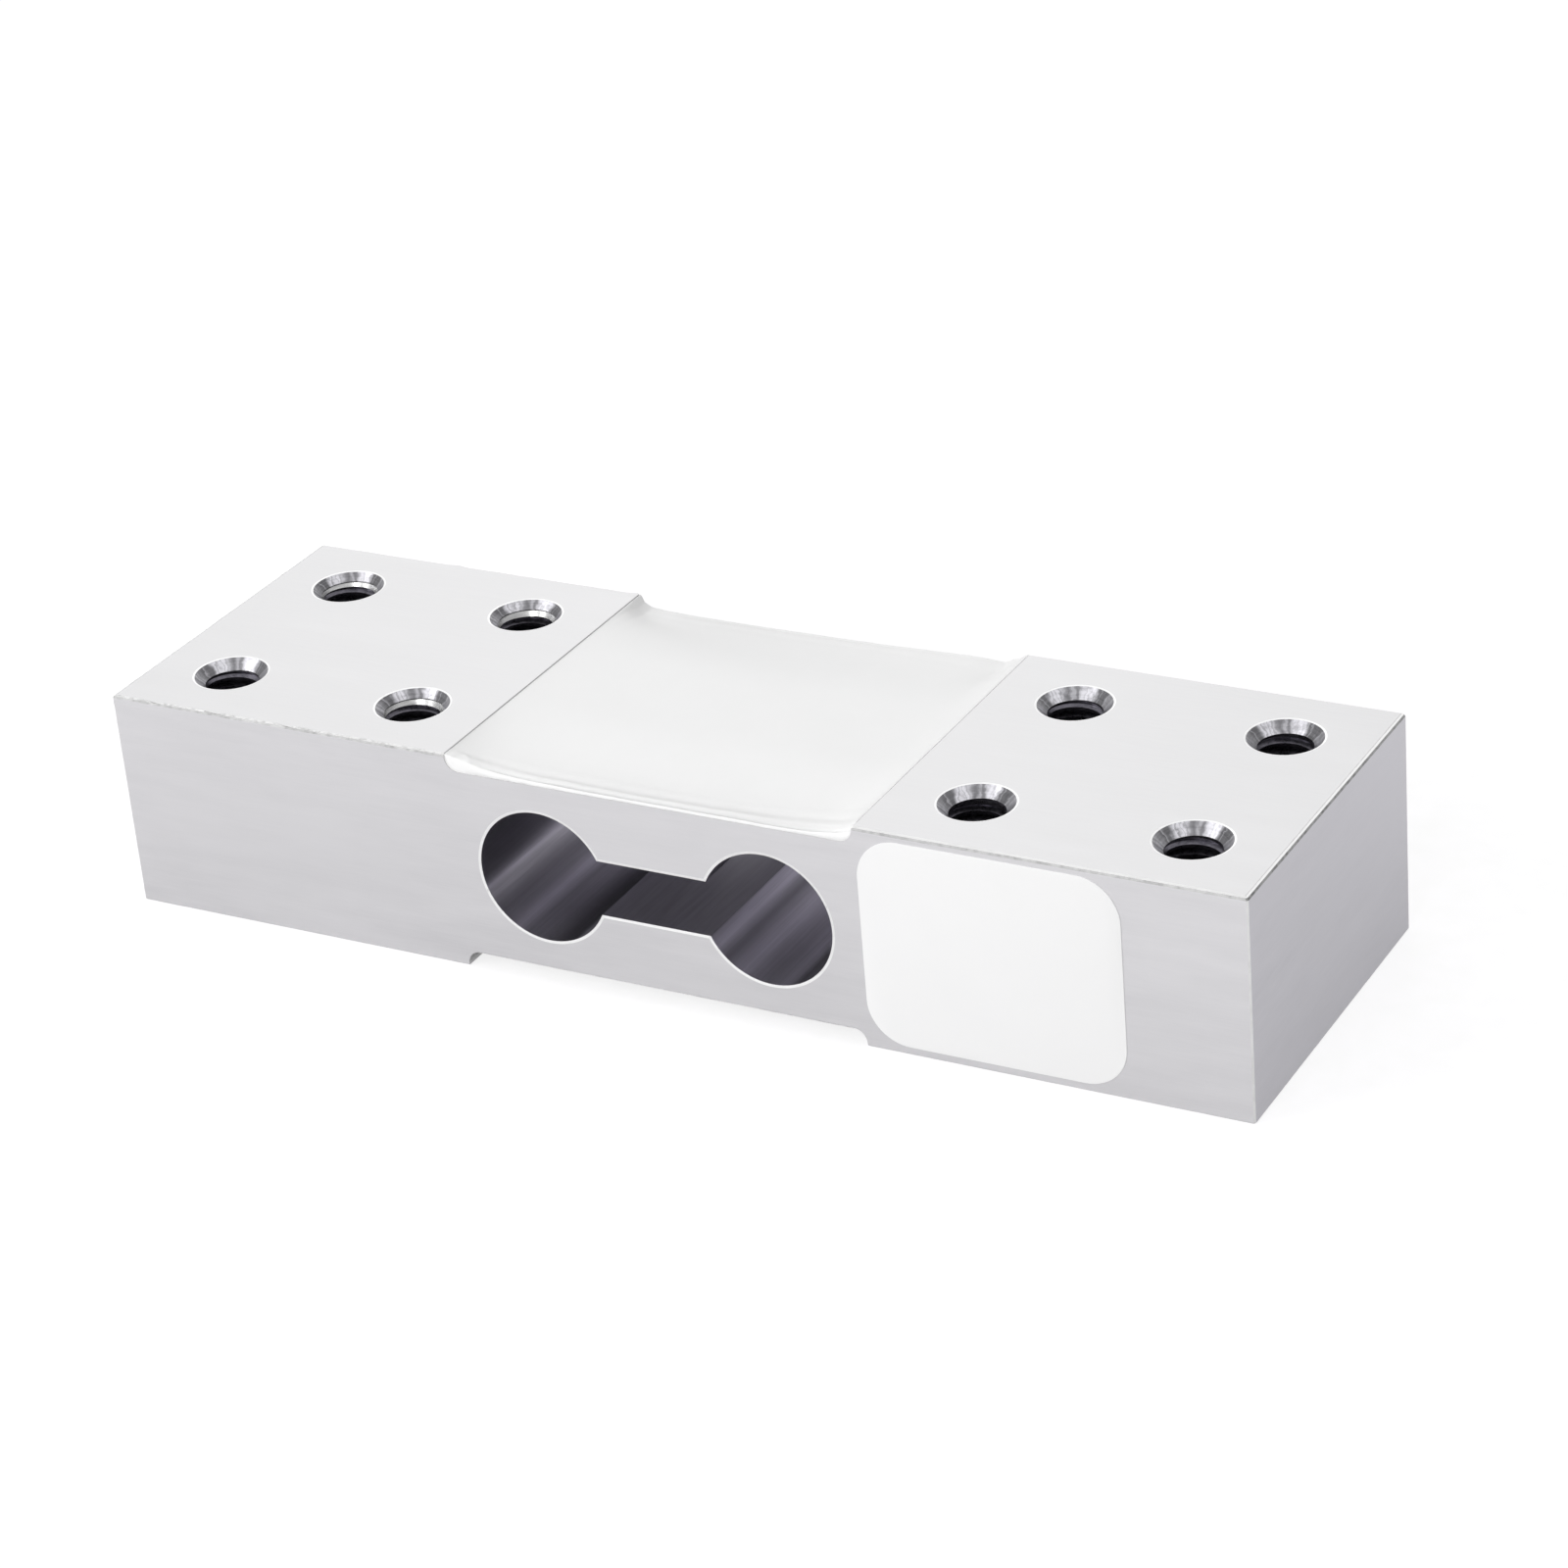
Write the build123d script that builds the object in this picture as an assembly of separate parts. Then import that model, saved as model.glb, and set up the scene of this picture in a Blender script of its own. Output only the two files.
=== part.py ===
from build123d import *
import os
from math import cos, hypot, radians, sin

# Single-point weighing load cell. A machined aluminium beam is bolted down at one end and carries the
# load at the other. Four strain gauges sit on the thin webs over and under the two flexure holes, and
# their wiring lies under white sealant in a recess on the top and another on the underside.
# Millimetres. X runs along the beam, from the fixed end to the loaded end. The labelled face looks
# to -Y and +Z is up. The origin is the centre of the underside.

# Beam
beam_length = 150.0
beam_width = 47.0
beam_height = 28.5
edge_chamfer = 0.25

# Recesses milled right across the top and the underside
recess_length = 54.0
recess_depth = 2.1
recess_corner_radius = 1.8

# Cut through the middle: two flexure holes joined by a slot
flexure_hole_diameter = 17.0
flexure_hole_spacing = 30.0
slot_height = 7.2
flexure_rim_chamfer = 0.3

# Tapped holes, four in the middle of each end block, countersunk at both faces
bolt_spacing_x = 26.5
bolt_spacing_y = 26.5
thread_core_diameter = 6.8
countersink_diameter = 9.2

# Cable inlet in the back face, the narrower chamber behind it, and the wire passages that meet there
inlet_diameter = 5.0
inlet_depth = 9.5
inlet_mouth_chamfer = 0.4
chamber_diameter = 4.0
chamber_depth = 4.5
passage_diameter = 3.0
passage_inside_recess = 1.3

# Strain gauges: a carrier film with an etched foil grid and two solder tabs
film_thickness = 0.1
film_end_margin = 0.8
film_side_margin = 1.2
foil_thickness = 0.05
grid_length = 4.0
strand_count = 10
strand_width = 0.15
strand_gap = 0.15
end_loop_width = 0.3
neck_length = 0.5
tab_length = 1.2
tab_width = 1.1
tab_spacing = 1.9

# Terminal boards with copper pads
board_length = 12.0
board_width = 23.0
board_thickness = 0.4
pad_length = 1.6
pad_width = 1.4
pad_thickness = 0.05
pad_inset = 1.4
pad_pitch = 1.9
gauge_pad_spacing = 3.4
wires_in_a_row = 4

# Trimming resistors on the boards
resistor_length = 2.0
resistor_width = 1.25
resistor_height = 0.45
resistor_pitch = 2.6

# Ribbon leads from the gauges, link wires between the boards, and solder
lead_width = 0.4
lead_thickness = 0.12
lead_arch_height = 0.85
link_wire_diameter = 0.5
link_wire_sides = 8
link_wire_pitch = 0.6
link_wire_bend = 1.5
link_wire_middle_bend = 3.0
tab_joint_size = 0.9
pad_joint_size = 1.2
joint_cover = 0.15
joint_slope = 20.0

# Sealant: a low mound across the width, drawn up at the two end walls
sealant_edge_inset = 0.1
sealant_edge_width = 0.7
sealant_edge_height = 0.45
sealant_crown_height = 1.5
sealant_wall_height = 1.65
sealant_wall_reach = 3.2
sealant_wall_foot = 0.3
sealant_wall_sag = 0.35
sealant_wall_round = 1.0

# Label on the front face of the loaded end
label_length = 32.5
label_height = 26.5
label_thickness = 0.1
label_corner_radius = 5.3
label_from_recess = 0.35

# Extra length that carries a cutter past the face it starts from
overrun = 1.0

# Places worked out from the sizes
mid_height = beam_height / 2
top_floor = beam_height - recess_depth
gauge_x = flexure_hole_spacing / 2
end_block_x = (beam_length + recess_length) / 4
inner_bolt_edge = end_block_x - bolt_spacing_x / 2 - thread_core_diameter / 2
flexure_edge = gauge_x + flexure_hole_diameter / 2
inlet_x = -(inner_bolt_edge + flexure_edge) / 2
passage_mouth_x = -recess_length / 2 + passage_inside_recess
passage_y = beam_width / 2 - inlet_depth - chamber_depth / 2
pad_x = board_length / 2 - pad_inset
outer_pad_y = board_width / 2 - pad_inset
pad_top = board_thickness + pad_thickness
foil_top = film_thickness + foil_thickness
tab_x = grid_length / 2 + end_loop_width + neck_length + tab_length / 2

bed = Plane.XY.offset(top_floor)
middle_plane = Plane.XY.offset(mid_height)


# Everything in the lower recess mirrors the upper one
def lower(piece):
    return mirror(piece, about=middle_plane)


# Every gauge has a twin over the other flexure hole
def other_side(piece):
    return mirror(piece, about=Plane.YZ)


# A face drawn in the XZ plane, carried through the width both ways from the middle
def across(profile, width):
    return extrude(Plane.XZ * profile, amount=width / 2, both=True)


# A face drawn in the YZ plane, carried along the beam both ways from the middle
def along(profile, length):
    return extrude(Plane.YZ * profile, amount=length / 2, both=True)


# Space of the top recess up to a height over its floor, with rounded corners at the end walls
def recess_space(height, width):
    outline = Pos(0, top_floor + height / 2) * Rectangle(recess_length, height)
    corners = outline.vertices().group_by(Axis.Y)[0]
    return across(fillet(corners, recess_corner_radius), width)


def flexure_cut():
    slot = Pos(0, mid_height) * Rectangle(flexure_hole_spacing, slot_height)
    holes = [Pos(x, mid_height) * Circle(flexure_hole_diameter / 2) for x in (-gauge_x, gauge_x)]
    return across(slot + holes, beam_width + 2 * overrun)


# Through hole with the thread's core diameter and a 90 degree countersink at each face
def tapped_hole():
    core = thread_core_diameter / 2
    mouth = countersink_diameter / 2 + overrun
    depth = countersink_diameter / 2 - core
    half_section = Polyline(
        (0, -overrun),
        (mouth, -overrun),
        (core, depth),
        (core, beam_height - depth),
        (mouth, beam_height + overrun),
        (0, beam_height + overrun),
        close=True,
    )
    return revolve(Plane.XZ * make_face(half_section), axis=Axis.Z)


# Blind bore that opens in the back face: a chamfered mouth, the cable's seat and the wire chamber
def cable_inlet():
    radius = inlet_diameter / 2
    mouth = radius + inlet_mouth_chamfer + overrun
    half_section = Polyline(
        (0, -inlet_depth - chamber_depth),
        (chamber_diameter / 2, -inlet_depth - chamber_depth),
        (chamber_diameter / 2, -inlet_depth),
        (radius, -inlet_depth),
        (radius, -inlet_mouth_chamfer),
        (mouth, overrun),
        (0, overrun),
        close=True,
    )
    bore = revolve(make_face(half_section), axis=Axis.Y)
    return Pos(inlet_x, beam_width / 2, mid_height) * bore


# Slanted bore from the corner of the top recess down to the chamber's axis
def wire_passage():
    run = passage_mouth_x - inlet_x
    rise = top_floor - mid_height
    length = hypot(run, rise) * (1 + overrun / rise)
    start = Plane(origin=(inlet_x, passage_y, mid_height), z_dir=(run, 0, rise))
    return extrude(start * Circle(passage_diameter / 2), amount=length)


def bolt_places():
    grid = GridLocations(bolt_spacing_x, bolt_spacing_y, 2, 2)
    return [Pos(end * end_block_x, 0) * place for end in (-1, 1) for place in grid]


# The edges where the through cut meets the front and back faces
def flexure_rims(body):
    rims = []
    for edge in body.edges():
        centre = edge.center()
        on_face = abs(abs(centre.Y) - beam_width / 2) < edge_chamfer / 2
        beside_cut = abs(centre.X) < flexure_edge
        level_with_cut = abs(centre.Z - mid_height) < flexure_hole_diameter / 2 + edge_chamfer
        if on_face and beside_cut and level_with_cut:
            rims.append(edge)
    return rims


def beam_body():
    block = Pos(0, 0, mid_height) * Box(beam_length, beam_width, beam_height)
    body = chamfer(block.edges(), edge_chamfer)
    recess = recess_space(recess_depth + overrun, beam_width + 2 * overrun)
    body -= [recess, lower(recess), flexure_cut()]
    body = chamfer(flexure_rims(body), flexure_rim_chamfer)
    body -= [place * tapped_hole() for place in bolt_places()]
    passage = wire_passage()
    body -= [cable_inlet(), passage, lower(passage)]
    return body


# Gauge over the left flexure hole: its grid is centred on the thinnest line of the web
def gauge_film():
    grid_width = strand_count * strand_width + (strand_count - 1) * strand_gap
    near = grid_length / 2 + end_loop_width + film_end_margin
    far = tab_x + tab_length / 2 + film_end_margin
    film = Pos((far - near) / 2, 0) * Rectangle(near + far, grid_width + 2 * film_side_margin)
    return Pos(-gauge_x, 0) * extrude(bed * film, amount=film_thickness)


# One unbroken conductor: strands side by side, joined by end loops, with a tab at each end
def gauge_foil():
    pitch = strand_width + strand_gap
    first = -(strand_count - 1) * pitch / 2
    loop_x = grid_length / 2 + end_loop_width / 2
    pieces = []
    for index in range(strand_count):
        pieces.append(Pos(0, first + index * pitch) * Rectangle(grid_length, strand_width))
    for index in range(strand_count - 1):
        side = -1 if index % 2 == 0 else 1
        middle = first + (index + 0.5) * pitch
        pieces.append(Pos(side * loop_x, middle) * Rectangle(end_loop_width, pitch + strand_width))
    neck_end = tab_x - tab_length / 2
    for side in (-1, 1):
        outer_strand = side * abs(first)
        neck = Pos((grid_length / 2 + neck_end) / 2, outer_strand) * Rectangle(
            neck_end - grid_length / 2, strand_width
        )
        tab_middle = side * tab_spacing / 2
        tab = Pos(tab_x, tab_middle) * Rectangle(tab_length, tab_width)
        pieces += [neck, tab]
    outline = Sketch() + pieces
    return Pos(-gauge_x, 0) * extrude(bed.offset(film_thickness) * outline, amount=foil_thickness)


# Block that holds the film and the foil together, which the sealant leaves free
def gauge_envelope():
    film = gauge_film()
    box = film.bounding_box()
    size = box.size
    return Pos(box.center().X, 0, top_floor + foil_top / 2) * Box(size.X, size.Y, foil_top)


def lead_ends(side):
    tab = Vector(tab_x - gauge_x, side * tab_spacing / 2, top_floor + foil_top)
    pad = Vector(-pad_x, side * gauge_pad_spacing / 2, top_floor + pad_top)
    return tab, pad


# A ribbon lead arches from the gauge's tab to the board's pad, so that nothing pulls it tight
def gauge_lead(side):
    tab, pad = lead_ends(side)
    lift = Vector(0, 0, lead_thickness / 2)
    top = Vector((tab.X + pad.X) / 2, (tab.Y + pad.Y) / 2, top_floor + lead_arch_height)
    arch = ThreePointArc(tab + lift, top, pad + lift)
    level = Vector(tab.Y - pad.Y, pad.X - tab.X, 0)
    section = Plane(origin=arch @ 0, x_dir=level, z_dir=arch % 0) * Rectangle(lead_width, lead_thickness)
    return sweep(section, path=arch)


def gauge_leads():
    return [gauge_lead(side) for side in (-1, 1)]


# A heap of solder with sloping sides that covers the end of a lead or a wire
def solder_heap(place, size, covered):
    base = Plane(origin=place, z_dir=(0, 0, 1)) * Rectangle(size, size)
    return extrude(base, amount=covered + joint_cover, taper=joint_slope)


def terminal_board():
    return Pos(0, 0, top_floor + board_thickness / 2) * Box(board_length, board_width, board_thickness)


def wire_pad_y(index):
    return outer_pad_y - (wires_in_a_row - 1 - index) * pad_pitch


# Pads for the gauges at the two ends of the board, and columns of wire pads at the end near the
# passages: behind them for the link wires, and in front of them for the cable's cores
def pad_places(columns):
    level = top_floor + board_thickness
    places = []
    for end in (-1, 1):
        for side in (-1, 1):
            places.append(Vector(end * pad_x, side * gauge_pad_spacing / 2, level))
    for column in columns:
        for index in range(wires_in_a_row):
            places.append(Vector(-pad_x, column * wire_pad_y(index), level))
    return places


def pads(columns):
    lift = Vector(0, 0, pad_thickness / 2)
    return [Pos(place + lift) * Box(pad_length, pad_width, pad_thickness) for place in pad_places(columns)]


# The wires lie side by side in the passages and fan out to their pads on each board
def link_wire(index):
    wire_y = passage_y + (index - (wires_in_a_row - 1) / 2) * link_wire_pitch
    height = pad_top + link_wire_diameter / 2
    slope = (passage_mouth_x - inlet_x) / (top_floor - mid_height)
    mouth_x = passage_mouth_x + height * slope
    top_z = top_floor + height
    bottom_z = beam_height - top_z
    route = FilletPolyline(
        (-pad_x, wire_pad_y(index), top_z),
        (mouth_x, wire_y, top_z),
        (inlet_x, wire_y, mid_height),
        (mouth_x, wire_y, bottom_z),
        (-pad_x, wire_pad_y(index), bottom_z),
        radius=[link_wire_bend, link_wire_middle_bend, link_wire_bend],
    )
    forward = route % 0
    level = Vector(forward.Y, -forward.X, 0)
    section = RegularPolygon(link_wire_diameter / 2, link_wire_sides, major_radius=False)
    flat_side_down = Rot(0, 0, -90 - 180 / link_wire_sides)
    start = Plane(origin=route @ 0, x_dir=level, z_dir=forward)
    return sweep(start * flat_side_down * section, path=route)


# Solder over the ends of the gauge leads and of the link wires
def solder_joints(leads, wires):
    joints = []
    for side in (-1, 1):
        tab, pad = lead_ends(side)
        joints.append(solder_heap(tab, tab_joint_size, lead_thickness))
        joints.append(solder_heap(pad, pad_joint_size, lead_thickness))
    joints += [other_side(joint) for joint in joints]
    for index in range(wires_in_a_row):
        place = Vector(-pad_x, wire_pad_y(index), top_floor + pad_top)
        joints.append(solder_heap(place, pad_joint_size, link_wire_diameter))
    return [joint - (leads + wires) for joint in joints]


def resistor(row):
    height = top_floor + board_thickness + resistor_height / 2
    return Pos(0, row * resistor_pitch, height) * Box(resistor_length, resistor_width, resistor_height)


# The mound's section across the beam: rounded edges and a shallow crown
def mound():
    outer = beam_width / 2 - sealant_edge_inset
    inner = outer - sealant_edge_width
    turn = radians(45)
    round_y = outer - sealant_edge_width * (1 - cos(turn))
    round_z = sealant_edge_height * sin(turn)
    outline = (
        ThreePointArc((-outer, 0), (-round_y, round_z), (-inner, sealant_edge_height))
        + ThreePointArc((-inner, sealant_edge_height), (0, sealant_crown_height), (inner, sealant_edge_height))
        + ThreePointArc((inner, sealant_edge_height), (round_y, round_z), (outer, 0))
        + Line((outer, 0), (-outer, 0))
    )
    return along(Pos(0, top_floor) * make_face(outline), recess_length)


# The sealant that climbs the left end wall, in a hollow curve
def wall_climb():
    wall = -recess_length / 2
    foot = wall + sealant_wall_reach
    middle_x = wall + sealant_wall_reach / 2 - sealant_wall_sag
    middle_z = (sealant_wall_height + sealant_wall_foot) / 2 - sealant_wall_sag
    outline = (
        Line((wall, 0), (wall, sealant_wall_height))
        + ThreePointArc((wall, sealant_wall_height), (middle_x, middle_z), (foot, sealant_wall_foot))
        + Line((foot, sealant_wall_foot), (foot, 0))
        + Line((foot, 0), (wall, 0))
    )
    width = beam_width - 2 * sealant_edge_inset
    climb = across(Pos(0, top_floor) * make_face(outline), width)
    limit = Pos(0, top_floor + sealant_wall_height / 2) * Rectangle(width, sealant_wall_height)
    corners = limit.vertices().group_by(Axis.Y)[-1]
    return climb & along(fillet(corners, sealant_wall_round), recess_length)


def sealant(embedded):
    climb = wall_climb()
    body = mound() + climb + other_side(climb)
    body = body & recess_space(recess_depth, beam_width)
    return body - embedded


def blank_label():
    outline = RectangleRounded(label_length, label_height, label_corner_radius)
    middle_x = recess_length / 2 + label_from_recess + label_length / 2
    face = Plane(origin=(middle_x, -beam_width / 2, mid_height), x_dir=(1, 0, 0), z_dir=(0, -1, 0))
    return extrude(face * outline, amount=label_thickness)


def write(name, pieces):
    solids = [solid for piece in pieces for solid in piece.solids()]
    shape = solids[0] if len(solids) == 1 else Compound(children=solids)
    export_step(shape, f"parts/{name}.step")


os.makedirs("parts", exist_ok=True)

film = gauge_film()
foil = gauge_foil()
leads = gauge_leads()
mirrored_leads = [other_side(lead) for lead in leads]
wires = [link_wire(index) for index in range(wires_in_a_row)]
board = terminal_board()
top_pads = pads((-1, 1))
bottom_pads = pads((1,))
joints = solder_joints(leads + mirrored_leads, wires)
top_resistors = [resistor(row) for row in (-1, 0, 1)]
bottom_resistor = resistor(0)
gauge_blocks = [gauge_envelope(), other_side(gauge_envelope())]
in_both = gauge_blocks + [board] + leads + mirrored_leads + wires + joints

write("beam_body", [beam_body()])
write("top_sealant", [sealant(in_both + top_pads + top_resistors)])
write("bottom_sealant", [lower(sealant(in_both + bottom_pads + [bottom_resistor]))])
write("blank_label", [blank_label()])
for side_name, place in (("left", lambda piece: piece), ("right", other_side)):
    for kind, pieces in (("film", [film]), ("foil", [foil]), ("leads", leads)):
        placed = [place(piece) for piece in pieces]
        write(f"top_{side_name}_gauge_{kind}", placed)
        write(f"bottom_{side_name}_gauge_{kind}", [lower(piece) for piece in placed])
write("top_terminal_board", [board])
write("bottom_terminal_board", [lower(board)])
write("top_terminal_pads", top_pads)
write("bottom_terminal_pads", [lower(pad) for pad in bottom_pads])
write("top_solder_joints", joints)
write("bottom_solder_joints", [lower(joint) for joint in joints])
for name, piece in zip(("zero_balance", "zero_temperature", "span_trim"), top_resistors):
    write(f"{name}_resistor", [piece])
write("span_temperature_resistor", [lower(bottom_resistor)])
for name, wire in zip(("supply_plus", "supply_minus", "signal_plus", "signal_minus"), wires):
    write(f"{name}_wire", [wire])
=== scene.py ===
import math

import bmesh
import bpy
from mathutils import Matrix, Vector, noise


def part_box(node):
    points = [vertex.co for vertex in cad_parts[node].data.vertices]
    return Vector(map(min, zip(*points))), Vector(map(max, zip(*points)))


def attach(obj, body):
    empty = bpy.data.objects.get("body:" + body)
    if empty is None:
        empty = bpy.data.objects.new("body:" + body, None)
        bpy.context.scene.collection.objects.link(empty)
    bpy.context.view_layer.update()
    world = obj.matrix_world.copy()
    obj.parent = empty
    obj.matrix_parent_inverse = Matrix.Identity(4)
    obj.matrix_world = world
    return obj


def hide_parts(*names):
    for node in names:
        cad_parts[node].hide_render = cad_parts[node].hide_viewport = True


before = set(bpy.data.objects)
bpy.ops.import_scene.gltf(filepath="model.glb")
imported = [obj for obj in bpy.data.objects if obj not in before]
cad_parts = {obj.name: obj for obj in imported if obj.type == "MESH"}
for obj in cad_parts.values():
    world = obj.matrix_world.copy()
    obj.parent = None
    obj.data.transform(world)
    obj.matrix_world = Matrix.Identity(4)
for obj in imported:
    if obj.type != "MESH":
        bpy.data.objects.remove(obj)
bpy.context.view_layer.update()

mm = 0.001
weldGap = 0.000001                            # points this close, in metres, become one
print("frame loaded:", len(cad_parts), "nodes")


# helpers for numbers

def portion(value, start, span):              # 0 up to the start, 1 past the span, straight between
    return min(max((value - start) / span, 0), 1)


def eased(part):                              # a portion with soft ends
    return part * part * (3 - 2 * part)


def bell(distance, middle, width):
    return math.exp(-((distance - middle) / width) ** 2)


def grey(level):
    return (level, level, level, 1)


# helpers for pieces, in millimetres

def useOnly(piece):
    if bpy.context.mode != "OBJECT":
        bpy.ops.object.mode_set(mode="OBJECT")
    bpy.ops.object.select_all(action="DESELECT")
    if piece:
        piece.select_set(True)
        bpy.context.view_layer.objects.active = piece


def applyPlace(piece):                        # its place goes into its mesh, its object to the origin
    useOnly(piece)
    bpy.ops.object.transform_apply(location=True, rotation=True, scale=True)


def nameNew(name):                            # names the primitive that was just added
    piece = bpy.context.active_object
    piece.name = name
    piece.data.name = name
    applyPlace(piece)
    return piece


def linkNew(name, data):
    piece = bpy.data.objects.new(name, data)
    bpy.context.scene.collection.objects.link(piece)
    return piece


def addBlock(name, low, high):
    useOnly(None)
    middle = [(a + b) / 2 * mm for a, b in zip(low, high)]
    size = [(b - a) * mm for a, b in zip(low, high)]
    bpy.ops.mesh.primitive_cube_add(size=1, location=middle, scale=size)
    return nameNew(name)


def addRod(name, start, turn, radius, length, sides):           # starts at a point, turned in degrees
    useOnly(None)
    bpy.ops.mesh.primitive_cone_add(vertices=sides, radius1=radius * mm, radius2=radius * mm,
                                    depth=length * mm)
    piece = bpy.context.active_object
    piece.rotation_euler = [math.radians(a) for a in turn]
    along = piece.rotation_euler.to_matrix() @ Vector((0, 0, length / 2))
    piece.location = [(a + b) * mm for a, b in zip(start, along)]
    return nameNew(name)


def copyPiece(piece, name, shift):
    twin = linkNew(name, piece.data.copy())
    twin.location = [a * mm for a in shift]
    applyPlace(twin)
    return twin


def openMesh(piece):                          # edit mode with all of it selected
    useOnly(piece)
    bpy.ops.object.mode_set(mode="EDIT")
    bpy.ops.mesh.select_all(action="SELECT")


def closeMesh():                              # faces turned outwards, back to object mode
    bpy.ops.mesh.normals_make_consistent(inside=False)
    bpy.ops.object.mode_set(mode="OBJECT")


def pickEdges(piece, test, sharperThan=40):   # selects the sharp edges that pass the test
    useOnly(piece)
    bpy.ops.object.mode_set(mode="EDIT")
    bpy.ops.mesh.select_mode(type="EDGE")
    bpy.ops.mesh.select_all(action="DESELECT")
    bpy.ops.mesh.edges_select_sharp(sharpness=math.radians(sharperThan))
    shape = bmesh.from_edit_mesh(piece.data)
    for edge in shape.edges:
        middle = (edge.verts[0].co + edge.verts[1].co) / 2 / mm
        run = (edge.verts[1].co - edge.verts[0].co).normalized()
        if edge.select and not test(middle, run):
            edge.select_set(False)
    bmesh.update_edit_mesh(piece.data)


def bevelPicked(width, segments=1):
    bpy.ops.mesh.bevel(offset=width * mm, segments=segments, affect="EDGES", profile=0.5)
    bpy.ops.object.mode_set(mode="OBJECT")


def addProfile(name, profile):                # a line through points of radius and height
    mesh = bpy.data.meshes.new(name)
    mesh.from_pydata([(r * mm, 0, z * mm) for r, z in profile],
                     [(i, i + 1) for i in range(len(profile) - 1)], [])
    return linkNew(name, mesh)


def windProfile(piece, steps, turns=1, pitch=0):                # round Z, up by the pitch each turn
    winding = piece.modifiers.new("winding", "SCREW")
    winding.steps = winding.render_steps = steps
    winding.iterations = turns
    winding.screw_offset = pitch * mm
    winding.use_merge_vertices = True
    winding.merge_threshold = weldGap
    useOnly(piece)
    bpy.ops.object.modifier_apply(modifier="winding")


def turnProfile(name, profile, sides):        # turned once, as on a lathe
    piece = addProfile(name, profile)
    windProfile(piece, sides)
    openMesh(piece)
    bpy.ops.mesh.remove_doubles(threshold=weldGap)
    closeMesh()
    return piece


def joinAll(pieces, name):
    useOnly(pieces[0])
    for piece in pieces:
        piece.select_set(True)
    bpy.ops.object.join()
    pieces[0].name = name
    return pieces[0]


def carve(piece, cutter, finish=None):        # the cut faces take the cutter's finishes
    if finish:
        cutter.data.materials.append(finish)
    cut = piece.modifiers.new("cut", "BOOLEAN")
    cut.operation = "DIFFERENCE"
    cut.solver = "EXACT"
    cut.material_mode = "TRANSFER"
    cut.object = cutter
    useOnly(piece)
    bpy.ops.object.modifier_apply(modifier="cut")
    bpy.data.objects.remove(cutter)


# helpers for finishes

def addNode(tree, kind, inputs=None, **settings):
    node = tree.nodes.new("ShaderNode" + kind)
    for key, value in settings.items():
        setattr(node, key, value)
    for key, value in (inputs or {}).items():
        if isinstance(value, bpy.types.NodeSocket):
            tree.links.new(value, node.inputs[key])
        else:
            node.inputs[key].default_value = value
    return node


class Finish:
    def __init__(self, name, **values):       # values for the shader's own sockets
        self.material = bpy.data.materials.new(name)
        self.material.use_nodes = True
        self.tree = self.material.node_tree
        self.shader = self.tree.nodes["Principled BSDF"]
        for key, value in values.items():
            self.shader.inputs[key.replace("_", " ")].default_value = value

    def add(self, kind, inputs=None, **settings):
        return addNode(self.tree, kind, inputs, **settings)

    def place(self, stretch=(1, 1, 1)):
        coords = self.add("TexCoord").outputs["Object"]
        return self.add("Mapping", {"Vector": coords, "Scale": stretch}).outputs["Vector"]

    def axes(self):
        return self.add("SeparateXYZ", {0: self.place()}).outputs

    def grain(self, stretch, scale, detail=3.0, rough=0.6):
        return self.add("TexNoise", {"Vector": self.place(stretch), "Scale": scale,
                                     "Detail": detail, "Roughness": rough}).outputs["Fac"]

    def math(self, operation, first, second=0.0):
        return self.add("Math", {0: first, 1: second}, operation=operation).outputs[0]

    def span(self, value, low, high, fromLow=0.25, fromHigh=0.75):
        return self.add("MapRange", {"Value": value, "From Min": fromLow, "From Max": fromHigh,
                                     "To Min": low, "To Max": high}).outputs["Result"]

    def blendColour(self, factor, first, second, mode="MIX"):
        return self.add("Mix", {0: factor, 6: first, 7: second},
                        data_type="RGBA", blend_type=mode).outputs[2]

    def shade(self, tone, pattern, level, low, high, *ends):    # lays a grey over it by the pattern
        return self.blendColour(self.span(pattern, low, high, *ends), tone, grey(level))

    def byAngle(self, angle, stops):          # tones set round a full turn: degrees and lightness
        turn = self.math("DIVIDE", angle, 2 * math.pi)
        turn = self.math("FRACT", self.math("ADD", turn, 1.0))
        node = self.add("ValToRGB", {"Fac": turn})
        ramp = node.color_ramp
        while len(ramp.elements) > 1:
            ramp.elements.remove(ramp.elements[-1])
        for index, (degrees, level) in enumerate(stops):
            stop = ramp.elements.new(degrees / 360) if index else ramp.elements[0]
            stop.position, stop.color = degrees / 360, grey(level)
        return turn, node.outputs["Color"]

    def to(self, key, socket):
        self.tree.links.new(socket, self.shader.inputs[key])

    def bump(self, height, strength, distance):
        node = self.add("Bump", {"Height": height, "Strength": strength, "Distance": distance})
        self.to("Normal", node.outputs["Normal"])


def grainyFinish(name, metal, grain, dark, light, roughness, strength, ends=(0.25, 0.75)):
    finish = Finish(name, Metallic=metal)
    specks = finish.grain(*grain)             # stretch, scale, detail and roughness
    finish.to("Base Color", finish.blendColour(finish.span(specks, 0, 1, *ends), dark, light))
    finish.to("Roughness", finish.span(specks, *roughness))
    finish.bump(specks, strength, 0.00001)
    return finish.material


# finishes of the beam

aluminium = {
    "light": (0.622, 0.620, 0.625, 1), "dark": (0.568, 0.566, 0.574, 1),
    "metal": 0.70, "roughness": (0.40, 0.50),
    "lineScale": 5200, "lineShare": 0.4, "lineDepth": 0.000003, "lineStrength": 0.35,
    "broadTimes": 12, "cloudScale": 70, "cloudLight": 0.6,
}


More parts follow.
